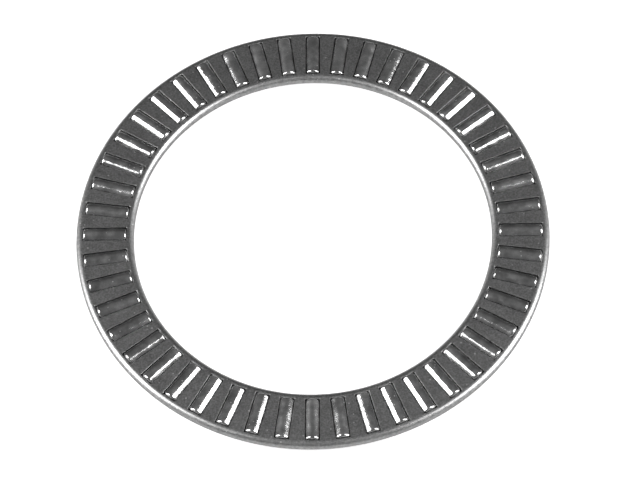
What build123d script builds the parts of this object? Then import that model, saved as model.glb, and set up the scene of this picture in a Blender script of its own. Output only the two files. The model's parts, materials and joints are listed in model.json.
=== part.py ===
from build123d import *
from math import sqrt
import os

# Axial needle roller and cage assembly for a 90 mm shaft. A flat cage of two
# pressed steel shells holds needle rollers that lie like spokes in closed
# slots. The lower shell nests between the flanges of the upper one, whose
# edges are rolled in around the lower shell's bends and lock the two. The
# slots are a little narrower than the rollers, so none falls out either way.
# +Z is the bearing axis and the origin is the cage's centre. Millimetres.

# ---- Driving dimensions: rollers ----
roller_count = 48
roller_diameter = 4.0  # stands proud of both cage faces, so it is the assembly's height
roller_length = 11.0
roller_corner_radius = 0.6  # between the rolling surface and each flat end

# ---- Driving dimensions: cage ----
bore_diameter = 90.4  # guided on a 90 mm shaft with play
cage_height = 2.6  # over both faces
sheet_thickness = 0.4
upper_bend_radius = 1.0  # inside radius where the upper face turns into a flange
lower_bend_radius = 0.5  # the same on the lower shell
rolled_angle = 40  # how far the upper shell's edges follow the lower shell's bends
bore_bar_width = 1.7  # from the bore wall to the slots
rim_bar_width = 1.65  # from the slots to the outside wall
slot_corner_radius = 0.25

# ---- Clearances ----
roller_end_clearance = 0.1  # between a roller's flat end and the end of its slot
lip_clearance = 0.075  # between the rolling surface and a slot's nearest edge
nesting_clearance = 0.02  # between the two shells where one lies around the other
edge_trim = 0.1  # how far short of upright the lower shell's bends stop
least_wall_height = 0.1  # straight length a wall keeps between its bend and its rolled edge

# ---- Sizes that follow ----
roller_radius = roller_diameter / 2
half_height = cage_height / 2
nesting_step = sheet_thickness + nesting_clearance

# The upper bend gives way where a low cage leaves it no room.
lower_bend_outer = lower_bend_radius + sheet_thickness
highest_upper_bend = cage_height - lower_bend_outer - least_wall_height
upper_bend_outer = min(upper_bend_radius + sheet_thickness, highest_upper_bend)

# Heights are measured from each shell's own face.
lower_edge_height = lower_bend_outer - edge_trim
rolling_start_height = cage_height - lower_bend_outer
rolled_inner_radius = lower_bend_outer + nesting_clearance
rolled_outer_radius = rolled_inner_radius + sheet_thickness

bore_radius = bore_diameter / 2
slot_length = roller_length + 2 * roller_end_clearance
slot_inner_end = bore_radius + bore_bar_width
outside_radius = slot_inner_end + slot_length + rim_bar_width
roller_centre_radius = slot_inner_end + slot_length / 2

# A slot's edge is nearest to its roller at the inside of the sheet.
lip_height = half_height - sheet_thickness
slot_width = 2 * sqrt((roller_radius + lip_clearance) ** 2 - lip_height**2)


def rounded_foot(width, height, corner_radius):
    """An upright rectangle on the X axis with its two lower corners rounded."""
    block = Rectangle(width, height, align=(Align.CENTER, Align.MIN))
    return fillet(block.vertices().sort_by(Axis.Y)[:2], corner_radius)


def channel_section(width, height, bend_outer):
    """The cross-section of a flat face whose edges are bent up to the given height."""
    uncut_height = height + bend_outer
    outside = rounded_foot(width, uncut_height, bend_outer)
    inside_radius = bend_outer - sheet_thickness
    inside = rounded_foot(width - 2 * sheet_thickness, uncut_height, inside_radius)
    kept = Rectangle(width, height, align=(Align.CENTER, Align.MIN))
    return (outside - Pos(0, sheet_thickness) * inside) & kept


def rolled_edge(width):
    """The cross-section of the right flange's end, rolled in around the nested bend."""
    centre = (width / 2 - rolled_outer_radius, rolling_start_height)
    outside = CenterArc(centre, rolled_outer_radius, 0, rolled_angle)
    inside = CenterArc(centre, rolled_inner_radius, 0, rolled_angle)
    ends = [Line(inside @ 0, outside @ 0), Line(inside @ 1, outside @ 1)]
    return make_face([outside, inside, *ends])


def slotted_ring(section, middle_radius):
    """A shell turned from its section, face down, with one radial slot under each roller."""
    ring = revolve(Plane.XZ * Pos(middle_radius, -half_height) * section, axis=Axis.Z)
    slot = extrude(
        RectangleRounded(slot_length, slot_width, slot_corner_radius),
        amount=cage_height,
        both=True,
    )
    return ring - PolarLocations(roller_centre_radius, roller_count) * slot


def make_upper_shell():
    """The wider shell, turned over: its flanges are the bore wall and the outside wall."""
    width = outside_radius - bore_radius
    channel = channel_section(width, rolling_start_height, upper_bend_outer)
    edge = rolled_edge(width)
    section = channel + edge + mirror(edge, about=Plane.YZ)
    shell = slotted_ring(section, (bore_radius + outside_radius) / 2)
    return mirror(shell, about=Plane.XY)


def make_lower_shell():
    """The narrower shell: its turned-up edges nest between the wider one's flanges."""
    width = outside_radius - bore_radius - 2 * nesting_step
    section = channel_section(width, lower_edge_height, lower_bend_outer)
    return slotted_ring(section, (bore_radius + outside_radius) / 2)


def make_roller():
    """A needle roller with flat ends and rounded corners, lying along +X in its slot."""
    roller = Cylinder(roller_radius, roller_length, rotation=(0, 90, 0))
    roller = fillet(roller.edges().filter_by(GeomType.CIRCLE), roller_corner_radius)
    return Pos(roller_centre_radius, 0, 0) * roller


def make_nodes():
    """Every piece of the assembly by its node name."""
    nodes = {
        "cage_upper_shell": make_upper_shell(),
        "cage_lower_shell": make_lower_shell(),
    }
    roller = make_roller()
    for number in range(roller_count):
        turn = Rot(0, 0, 360 * number / roller_count)
        nodes[f"needle_roller_{number + 1:02d}"] = turn * roller
    return nodes


os.makedirs("parts", exist_ok=True)
for name, shape in make_nodes().items():
    export_step(shape, f"parts/{name}.step")
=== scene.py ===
import json
import math

import bmesh
import bpy
from mathutils import Euler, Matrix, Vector


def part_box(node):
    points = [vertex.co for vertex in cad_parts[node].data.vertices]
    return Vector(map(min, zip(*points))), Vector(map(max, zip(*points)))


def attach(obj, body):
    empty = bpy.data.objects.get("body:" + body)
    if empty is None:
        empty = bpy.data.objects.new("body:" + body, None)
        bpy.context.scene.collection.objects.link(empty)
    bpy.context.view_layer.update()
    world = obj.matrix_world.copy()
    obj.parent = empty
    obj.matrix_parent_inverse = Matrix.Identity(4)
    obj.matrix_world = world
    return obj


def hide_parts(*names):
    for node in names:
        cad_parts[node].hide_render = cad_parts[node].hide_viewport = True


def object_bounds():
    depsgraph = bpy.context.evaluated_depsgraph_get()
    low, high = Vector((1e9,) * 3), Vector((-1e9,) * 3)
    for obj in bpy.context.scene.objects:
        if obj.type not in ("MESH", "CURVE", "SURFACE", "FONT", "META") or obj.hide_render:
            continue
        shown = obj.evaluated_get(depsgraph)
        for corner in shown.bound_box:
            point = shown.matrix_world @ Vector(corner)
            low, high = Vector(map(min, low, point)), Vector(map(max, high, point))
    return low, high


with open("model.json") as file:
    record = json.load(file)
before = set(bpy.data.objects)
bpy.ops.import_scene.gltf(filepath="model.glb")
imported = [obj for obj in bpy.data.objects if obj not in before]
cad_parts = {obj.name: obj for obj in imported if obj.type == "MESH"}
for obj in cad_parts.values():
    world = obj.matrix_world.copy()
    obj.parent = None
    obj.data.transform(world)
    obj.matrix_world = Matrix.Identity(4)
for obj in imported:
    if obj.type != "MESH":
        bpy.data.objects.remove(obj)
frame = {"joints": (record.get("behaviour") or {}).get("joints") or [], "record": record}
cad_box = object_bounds()
MM = 0.001


# ---- Camera ----
# A long lens looks down on the bearing from the front, as at something lying on a table. The
# camera is rolled a little, and the bearing sits a little left of and above the middle.
view_elevation = math.radians(61.02)
view_turn = math.radians(2.33)
view_roll = math.radians(-2.66)
view_distance = 838 * MM
view_centre = (1.84 * MM, -1.49 * MM)

camera = bpy.data.objects.new("camera", bpy.data.cameras.new("camera"))
bpy.context.collection.objects.link(camera)
camera.data.sensor_width = 36
camera.data.lens = 186.7
camera.data.clip_start = 0.01
camera.data.clip_end = 20
tilt = Euler((math.pi / 2 - view_elevation, 0, view_turn), "XYZ").to_matrix()
roll = Euler((0, 0, view_roll), "XYZ").to_matrix()
camera_turn = tilt @ roll
camera.location = camera_turn @ Vector((*view_centre, view_distance))
camera.rotation_euler = camera_turn.to_euler()
bpy.context.scene.camera = camera


# ---- Upper cage shell ----
# A ring pressed from thin sheet steel with a radial slot punched over each roller. Its flanges
# are the bearing's bore wall and outside wall. They come down round the lower shell, and
# their ends are rolled in around its bends, which locks the two shells together.
sheet = 0.4 * MM
upper_bend = 1.4 * MM
lower_bend = 0.9 * MM
nesting_play = 0.02 * MM
rolled_angle = math.radians(40)
slot_corner = 0.25 * MM
sheared_edge = 0.12 * MM
bend_steps = 8
rolled_steps = 5
corner_steps = 4
edge_steps = 2
pitch_steps = 6
nearly_whole = 0.999
sharpest_smooth_turn = 0.7
near = 0.001 * MM
exactly = 0.00001 * MM
mounts = {mount["name"]: mount for mount in frame["record"]["mounts"]}
pitch = 2 * math.pi / len(frame["joints"])
bore_wall = mounts["shaft_bore"]["dims"]["r_mm"] * MM
outside_wall = mounts["housing_seat"]["dims"]["r_mm"] * MM
roller_low, roller_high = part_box("needle_roller_01")
roller_play = 0.1 * MM
slot_from = roller_low.x - roller_play
slot_to = roller_high.x + roller_play
slot_half = 1.87 * MM


def pick(piece, kind, wanted):
    """Selects the points, edges or faces of a piece in edit mode for which wanted is true."""
    mesh = bmesh.from_edit_mesh(piece.data)
    for part in (*mesh.faces, *mesh.edges, *mesh.verts):
        part.select = False
    kinds = {"VERT": mesh.verts, "EDGE": mesh.edges, "FACE": mesh.faces}
    bpy.context.tool_settings.mesh_select_mode = [kind == name for name in kinds]
    for part in kinds[kind]:
        part.select = wanted(part)
    mesh.select_flush_mode()
    bmesh.update_edit_mesh(piece.data)


def finish_with(piece, kind, **settings):
    """Adds a modifier with these settings to a piece and applies it."""
    modifier = piece.modifiers.new(kind.title(), kind)
    for name, value in settings.items():
        setattr(modifier, name, value)
    bpy.ops.object.modifier_apply(modifier=modifier.name)


def place_at_origin(piece):
    """Leaves a piece's object unturned and unscaled at the origin, with its place in its mesh."""
    bpy.ops.object.transform_apply(location=True, rotation=True, scale=True)


def press_shell(name, bore_side, outer_side, face, flange_end, bend, rolled=None):
    """A slotted ring of channel section. Its flat face is at height face. The flanges are
    rolled in from flange_end on at the given radius, or cut off level there without one."""
    width = outer_side - bore_side
    middle_radius = (bore_side + outer_side) / 2
    down = math.copysign(1, flange_end - face)
    if rolled:
        corner = rolled * math.tan(rolled_angle / 2)
        drawn_end = flange_end + down * corner
    else:
        drawn_end = flange_end + down * bend
    bpy.ops.object.select_all(action="DESELECT")
    middle = Vector((middle_radius, 0, (face + drawn_end) / 2))
    upright = (math.pi / 2, 0, 0)
    bpy.ops.mesh.primitive_plane_add(size=1, location=middle, rotation=upright)
    shell = bpy.context.object
    shell.name = name
    shell.data.name = name
    bpy.ops.object.mode_set(mode="EDIT")
    bpy.ops.transform.resize(value=(width, 1, abs(face - drawn_end)))
    bpy.ops.object.mode_set(mode="OBJECT")
    place_at_origin(shell)

    # The section: an open channel with two rounded bends, and rolled ends where asked.
    bpy.ops.object.mode_set(mode="EDIT")
    bpy.ops.mesh.select_all(action="SELECT")
    bpy.ops.mesh.delete(type="ONLY_FACE")
    pick(shell, "EDGE", lambda e: all(abs(v.co.z - drawn_end) < near for v in e.verts))
    bpy.ops.mesh.delete(type="EDGE")
    if rolled:
        pick(shell, "VERT", lambda v: abs(v.co.z - drawn_end) < near)
        fall = (0, 0, down * corner * math.cos(rolled_angle))
        bpy.ops.mesh.extrude_region_move(TRANSFORM_OT_translate={"value": fall})
        inwards = corner * math.sin(rolled_angle)
        bpy.ops.transform.resize(value=(1 - 2 * inwards / width, 1, 1))
        pick(shell, "VERT", lambda v: abs(v.co.z - drawn_end) < near)
        bpy.ops.mesh.bevel(affect="VERTICES", offset=corner * nearly_whole, segments=rolled_steps)
    pick(shell, "VERT", lambda v: abs(v.co.z - face) < near)
    bpy.ops.mesh.bevel(affect="VERTICES", offset=bend, segments=bend_steps)

    # One pitch of the ring, centred on +X.
    bpy.ops.mesh.select_all(action="SELECT")
    bpy.ops.transform.rotate(value=-pitch / 2, orient_axis="Z", center_override=(0, 0, 0))
    bpy.ops.mesh.spin(steps=pitch_steps, angle=pitch, center=(0, 0, 0), axis=(0, 0, 1))

    # The slot: four cuts across the face, and what lies between them is removed.
    cuts = (
        ((slot_from, 0, 0), (1, 0, 0)),
        ((slot_to, 0, 0), (1, 0, 0)),
        ((0, slot_half, 0), (0, 1, 0)),
        ((0, -slot_half, 0), (0, 1, 0)),
    )
    for place, across in cuts:
        pick(shell, "FACE", lambda f: all(abs(v.co.z - face) < near for v in f.verts))
        bpy.ops.mesh.bisect(plane_co=place, plane_no=across, threshold=exactly)

    def in_slot(part):
        centre = part.calc_center_median()
        return slot_from < centre.x < slot_to and abs(centre.y) < slot_half

    pick(shell, "FACE", in_slot)
    bpy.ops.mesh.delete(type="FACE")

    # The whole ring.
    bpy.ops.mesh.select_all(action="SELECT")
    turns = len(frame["joints"]) - 1
    bpy.ops.mesh.spin(
        steps=turns, dupli=True, angle=turns * pitch, center=(0, 0, 0), axis=(0, 0, 1)
    )
    bpy.ops.mesh.select_all(action="SELECT")
    bpy.ops.mesh.remove_doubles(threshold=near)
    bpy.ops.mesh.normals_make_consistent(inside=False)
    bpy.ops.object.mode_set(mode="OBJECT")

    # The sheet's thickness goes inwards from the outside surface. Flanges that are not rolled
    # are cut off level. Then the slots' corners are rounded, and every sheared edge is broken.
    finish_with(shell, "SOLIDIFY", thickness=sheet, offset=-1, use_even_offset=True)
    bpy.ops.object.mode_set(mode="EDIT")
    if not rolled:
        bpy.ops.mesh.select_all(action="SELECT")
        bpy.ops.mesh.bisect(
            plane_co=(0, 0, flange_end),
            plane_no=(0, 0, down),
            clear_outer=True,
            threshold=exactly,
        )
        for side in (-1, 1):
            pick(
                shell,
                "EDGE",
                lambda e: e.is_boundary
                and all(side * (v.co.xy.length - middle_radius) > 0 for v in e.verts),
            )
            bpy.ops.mesh.bridge_edge_loops()

    def at_slot_corner(edge):
        upright_edge = abs(edge.verts[0].co.z - edge.verts[1].co.z) > sheet / 2
        radius = edge.verts[0].co.xy.length
        return upright_edge and slot_from < radius < slot_to + slot_corner

    pick(shell, "EDGE", at_slot_corner)
    bpy.ops.mesh.bevel(offset=slot_corner, segments=corner_steps)
    bpy.ops.object.mode_set(mode="OBJECT")
    finish_with(
        shell,
        "BEVEL",
        width=sheared_edge,
        segments=edge_steps,
        limit_method="ANGLE",
        angle_limit=sharpest_smooth_turn,
    )
    bpy.ops.object.shade_smooth()
    finish_with(shell, "WEIGHTED_NORMAL", keep_sharp=True)
    return shell


def wire(tree, kind, inputs=(), **settings):
    """Adds a node to a tree. Each of its inputs is given a value or another node's socket."""
    node = tree.nodes.new(kind)
    for name, value in settings.items():
        setattr(node, name, value)
    for socket, value in dict(inputs).items():
        if isinstance(value, bpy.types.NodeSocket):
            tree.links.new(value, node.inputs[socket])
        else:
            node.inputs[socket].default_value = value
    return node


def effect(name, inputs, outputs):
    """A new shader node group with these named inputs and outputs, and its two end nodes."""
    group = bpy.data.node_groups.new(name, "ShaderNodeTree")
    for socket, (kind, value) in inputs.items():
        made = group.interface.new_socket(socket, in_out="INPUT", socket_type=kind)
        if value is not None:
            made.default_value = value
    for socket, kind in outputs.items():
        group.interface.new_socket(socket, in_out="OUTPUT", socket_type=kind)
    return group, wire(group, "NodeGroupInput"), wire(group, "NodeGroupOutput")


def remap(tree, value, given, wanted=(0, 1)):
    """The result of a node that carries a value from the given range to the wanted one."""
    ends = {"From Min": given[0], "From Max": given[1], "To Min": wanted[0], "To Max": wanted[1]}
    return wire(tree, "ShaderNodeMapRange", {"Value": value, **ends}).outputs["Result"]


def reckon(tree, operation, *values):
    """The result of a node that does this sum on these values."""
    node = wire(tree, "ShaderNodeMath", dict(enumerate(values)), operation=operation)
    return node.outputs["Value"]


def metal(name):
    """A new metal material, its node tree and its Principled node."""
    material = bpy.data.materials.new(name)
    material.use_nodes = True
    tree = material.node_tree
    surface = tree.nodes["Principled BSDF"]
    surface.inputs["Metallic"].default_value = 1
    return material, tree, surface


FLOAT, VECTOR = "NodeSocketFloat", "NodeSocketVector"

# Fine grain: the uneven tooth of a metal surface, in grains per metre.
grain_group, grain_in, grain_out = effect(
    "fine_grain", {"Place": (VECTOR, None), "Grains": (FLOAT, 3000)}, {"Grain": FLOAT}
)
coarse_grain = wire(
    grain_group,
    "ShaderNodeTexNoise",
    {"Vector": grain_in.outputs["Place"], "Scale": grain_in.outputs["Grains"], "Detail": 3},
)
grain_group.links.new(coarse_grain.outputs["Fac"], grain_out.inputs["Grain"])

# Clouds: the slow change of tone that rolling, oil and fingers leave on steel.
cloud_group, cloud_in, cloud_out = effect(
    "clouded_tone",
    {"Place": (VECTOR, None), "Clouds": (FLOAT, 120)},
    {"Cloud": FLOAT},
)
clouds = wire(
    cloud_group,
    "ShaderNodeTexNoise",
    {"Vector": cloud_in.outputs["Place"], "Scale": cloud_in.outputs["Clouds"], "Detail": 4},
)
cloud_group.links.new(clouds.outputs["Fac"], cloud_out.inputs["Cloud"])

# Specks: sparse bright nicks where the surface has been touched.
speck_group, speck_in, speck_out = effect(
    "bright_specks",
    {"Place": (VECTOR, None), "Specks": (FLOAT, 900), "Share": (FLOAT, 0.12)},
    {"Speck": FLOAT},
)
cells = wire(
    speck_group,
    "ShaderNodeTexVoronoi",
    {"Vector": speck_in.outputs["Place"], "Scale": speck_in.outputs["Specks"]},
)
draw = wire(speck_group, "ShaderNodeSeparateColor", {"Color": cells.outputs["Color"]})
is_chosen = reckon(speck_group, "LESS_THAN", draw.outputs["Red"], speck_in.outputs["Share"])
is_near = remap(speck_group, cells.outputs["Distance"], (0.1, 0.22), (1, 0))
speck = reckon(speck_group, "MULTIPLY", is_chosen, is_near)
speck_group.links.new(speck, speck_out.inputs["Speck"])

# Worn edges and painted light: bends, sheared edges and walls, which do not lie level, are rubbed
# bare in patches, and the same lightening also paints light into the shaded walls of the slots.
wear_and_lift_group, wear_and_lift_in, wear_and_lift_out = effect(
    "worn_edges_and_painted_lift", {"Place": (VECTOR, None), "Patches": (FLOAT, 1100)}, {"Wear and painted lift": FLOAT}
)
facing = wire(
    wear_and_lift_group,
    "ShaderNodeSeparateXYZ",
    {"Vector": wire(wear_and_lift_group, "ShaderNodeNewGeometry").outputs["Normal"]},
)
levelness = reckon(wear_and_lift_group, "ABSOLUTE", facing.outputs["Z"])
patches = wire(
    wear_and_lift_group,
    "ShaderNodeTexNoise",
    {"Vector": wear_and_lift_in.outputs["Place"], "Scale": wear_and_lift_in.outputs["Patches"], "Detail": 2},
)
# Every surface that does not lie level is made lighter, the shaded slot walls too, so this mask
# is partly painted light.
standing_out = remap(wear_and_lift_group, levelness, (0.97, 0.8))
patchy = remap(wear_and_lift_group, patches.outputs["Fac"], (0.1, 0.8))
rubbed_and_lifted = reckon(wear_and_lift_group, "MULTIPLY", standing_out, patchy)
wear_and_lift_group.links.new(rubbed_and_lifted, wear_and_lift_out.inputs["Wear and painted lift"])

# The cage's steel is grey with a soft sheen, a little uneven, brighter where worn, and painted
# lighter on every wall, which lifts the shade inside the slots.
cage_steel, cage_tree, cage_surface = metal("cage_steel")
place = wire(cage_tree, "ShaderNodeTexCoord").outputs["Object"]
grain = wire(
    cage_tree, "ShaderNodeGroup", {"Place": place, "Grains": 2500}, node_tree=grain_group
).outputs["Grain"]
cloud = wire(
    cage_tree, "ShaderNodeGroup", {"Place": place}, node_tree=cloud_group
).outputs["Cloud"]
specks = wire(
    cage_tree, "ShaderNodeGroup", {"Place": place}, node_tree=speck_group
).outputs["Speck"]
wear_and_lift = wire(
    cage_tree, "ShaderNodeGroup", {"Place": place}, node_tree=wear_and_lift_group
).outputs["Wear and painted lift"]
noise_range = (0.3, 0.7)
tone = remap(cage_tree, cloud, noise_range, (0.205, 0.245))
fleck = remap(cage_tree, grain, noise_range, (-0.06, 0.06))
toned = reckon(cage_tree, "ADD", tone, fleck)
nicked = reckon(cage_tree, "MULTIPLY_ADD", specks, 0.35, toned)
# Partly painted light: the worn patches lift the base colour on walls and bends, also where the
# slots lie in shade.
worn_and_lifted = reckon(cage_tree, "MULTIPLY_ADD", wear_and_lift, 0.24, nicked)
cage_tree.links.new(worn_and_lifted, cage_surface.inputs["Base Color"])
sheen = remap(cage_tree, grain, noise_range, (0.34, 0.45))
cage_tree.links.new(sheen, cage_surface.inputs["Roughness"])
tooth = wire(
    cage_tree, "ShaderNodeBump", {"Height": grain, "Strength": 0.5, "Distance": 0.02 * MM}
)
cage_tree.links.new(tooth.outputs["Normal"], cage_surface.inputs["Normal"])

upper_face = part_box("cage_upper_shell")[1].z
lower_low, lower_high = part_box("cage_lower_shell")
upper_shell = press_shell(
    "upper_shell",
    bore_wall,
    outside_wall,
    upper_face,
    lower_low.z + lower_bend,
    upper_bend,
    rolled=lower_bend + nesting_play + sheet,
)
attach(upper_shell, "cage")
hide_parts("cage_upper_shell")
upper_shell.data.materials.append(cage_steel)


# ---- Lower cage shell ----
# The same pressing turned over. It is narrower by a sheet's thickness and a little play all
# round. Its edges are only turned up, in tighter bends that nest in the upper shell's ends.
nested = outside_wall - lower_high.x
lower_shell = press_shell(
    "lower_shell",
    bore_wall + nested,
    outside_wall - nested,
    lower_low.z,
    lower_high.z,
    lower_bend,
)
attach(lower_shell, "cage")
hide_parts("cage_lower_shell")
lower_shell.data.materials.append(cage_steel)


# ---- Needle rollers ----
# Hardened bearing steel, ground and polished, with flat ends and rounded corners. Each lies
# loose in its slot, held by the two shells' lips. One is modelled along +X and copied round.
roller_corner = 0.6 * MM
end_face_margin = 0.2 * MM
roller_sides = 64
roller_corner_steps = 6
bpy.ops.object.select_all(action="DESELECT")
bpy.ops.mesh.primitive_cylinder_add(
    vertices=roller_sides,
    radius=roller_high.z,
    depth=roller_high.x - roller_low.x,
    location=(roller_low + roller_high) / 2,
    rotation=(0, math.pi / 2, 0),
)
model_roller = bpy.context.object
place_at_origin(model_roller)
bpy.ops.object.mode_set(mode="EDIT")
pick(model_roller, "EDGE", lambda e: abs(e.verts[0].co.x - e.verts[1].co.x) < near)
bpy.ops.mesh.bevel(offset=roller_corner, segments=roller_corner_steps)
pick(model_roller, "FACE", lambda f: abs(f.normal.x) > 0.999)
bpy.ops.mesh.inset(thickness=end_face_margin)
bpy.ops.object.mode_set(mode="OBJECT")
bpy.ops.object.shade_smooth()
finish_with(model_roller, "WEIGHTED_NORMAL")

# The rollers' steel is polished, with faint smudges.
roller_steel, roller_tree, roller_surface = metal("roller_steel")
place = wire(roller_tree, "ShaderNodeTexCoord").outputs["Object"]
smudges = wire(
    roller_tree, "ShaderNodeGroup", {"Place": place, "Clouds": 400}, node_tree=cloud_group
).outputs["Cloud"]
polish = remap(roller_tree, smudges, noise_range, (0.14, 0.24))
roller_tree.links.new(polish, roller_surface.inputs["Roughness"])

# Each roller has its own shade, picked by its place round the ring.
across = wire(roller_tree, "ShaderNodeSeparateXYZ", {"Vector": place})
turn = reckon(roller_tree, "ARCTAN2", across.outputs["Y"], across.outputs["X"])
turns = reckon(roller_tree, "MULTIPLY", turn, 1 / pitch)
number = reckon(roller_tree, "ROUND", turns)
own = wire(roller_tree, "ShaderNodeTexWhiteNoise", {"W": number}, noise_dimensions="1D")
shade = remap(roller_tree, own.outputs["Value"], (0, 1), (0.42, 0.5))
smudge = remap(roller_tree, smudges, noise_range, (-0.12, 0.12))
smudged = reckon(roller_tree, "ADD", shade, smudge)
roller_specks = wire(
    roller_tree, "ShaderNodeGroup", {"Place": place, "Share": 0.22}, node_tree=speck_group
).outputs["Speck"]
speckled = reckon(roller_tree, "MULTIPLY_ADD", roller_specks, 0.5, smudged)
roller_tree.links.new(speckled, roller_surface.inputs["Base Color"])

# Grinding leaves fine rings round a roller, so they lie at steady distances from the
# bearing's axis. Handling has dinted them.
flat_place = wire(
    roller_tree, "ShaderNodeVectorMath", {0: place, 1: (1, 1, 0)}, operation="MULTIPLY"
)
from_axis = wire(
    roller_tree, "ShaderNodeVectorMath", {0: flat_place.outputs["Vector"]}, operation="LENGTH"
)
rings = wire(
    roller_tree,
    "ShaderNodeTexNoise",
    {"W": from_axis.outputs["Value"], "Scale": 2500, "Detail": 2},
    noise_dimensions="1D",
)
dints = wire(
    roller_tree, "ShaderNodeGroup", {"Place": place, "Grains": 650}, node_tree=grain_group
).outputs["Grain"]
relief = reckon(roller_tree, "MULTIPLY_ADD", rings.outputs["Fac"], 0.2, dints)
ground = wire(
    roller_tree, "ShaderNodeBump", {"Height": relief, "Strength": 1, "Distance": 0.06 * MM}
)
roller_tree.links.new(ground.outputs["Normal"], roller_surface.inputs["Normal"])
model_roller.data.materials.append(roller_steel)

bodies = frame["record"]["behaviour"]["bodies"]
for number, joint in enumerate(frame["joints"], start=1):
    roller = bpy.data.objects.new(f"roller_{number:02d}", model_roller.data.copy())
    bpy.context.collection.objects.link(roller)
    along = Vector(joint["axis"])
    roller.data.transform(Vector((1, 0, 0)).rotation_difference(along).to_matrix().to_4x4())
    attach(roller, joint["child"])
    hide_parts(*bodies[joint["child"]])
bpy.data.objects.remove(model_roller)


# ---- Floor and lights ----
# A pale table top, which the camera sees burnt out to white. Two tall softboxes stand a little
# in front of it, to the left and the right. The room is dim, most at its far end.
floor_size = 6
floor_glow = 0.7
bpy.ops.mesh.primitive_plane_add(size=floor_size, location=(0, 0, cad_box[0][2]))
floor = bpy.context.object
floor.name = "floor"
pale = bpy.data.materials.new("pale_floor")
pale.use_nodes = True
pale_surface = pale.node_tree.nodes["Principled BSDF"]
pale_surface.inputs["Base Color"].default_value = (0.5, 0.5, 0.5, 1)
pale_surface.inputs["Roughness"].default_value = 0.9
pale_surface.inputs["Specular IOR Level"].default_value = 0.1
pale_surface.inputs["Emission Color"].default_value = (1, 1, 1, 1)
seen = wire(pale.node_tree, "ShaderNodeLightPath").outputs["Is Camera Ray"]
glow = reckon(pale.node_tree, "MULTIPLY", seen, floor_glow)
pale.node_tree.links.new(glow, pale_surface.inputs["Emission Strength"])
floor.data.materials.append(pale)

lamp_width = 0.32
lamp_tall = 0.6
lamp_distance = 0.65
lamp_height = math.radians(34)
lamp_lean = math.radians(5)
lamp_power = 7
for name, side, lean in (("left_lamp", 188, -lamp_lean), ("right_lamp", -8, lamp_lean)):
    lamp = bpy.data.objects.new(name, bpy.data.lights.new(name, "AREA"))
    bpy.context.collection.objects.link(lamp)
    lamp.data.shape = "RECTANGLE"
    lamp.data.size = lamp_width
    lamp.data.size_y = lamp_tall
    lamp.data.energy = lamp_power
    away = Vector((math.cos(math.radians(side)), math.sin(math.radians(side)), 0))
    away = away * math.cos(lamp_height) + Vector((0, 0, math.sin(lamp_height)))
    lamp.location = away * lamp_distance
    facing = away.to_track_quat("Z", "Y") @ Euler((0, 0, lean)).to_quaternion()
    lamp.rotation_euler = facing.to_euler()

world = bpy.data.worlds.new("room")
bpy.context.scene.world = world
world.use_nodes = True
room = world.node_tree
depth = wire(
    room,
    "ShaderNodeSeparateXYZ",
    {"Vector": wire(room, "ShaderNodeTexCoord").outputs["Generated"]},
)
dimness = remap(room, depth.outputs["Y"], (0.5, 0.95), (0.215, 0.11))
room.nodes["Background"].inputs["Color"].default_value = (1, 1, 1, 1)
room.links.new(dimness, room.nodes["Background"].inputs["Strength"])
bpy.context.scene.view_settings.view_transform = "Standard"
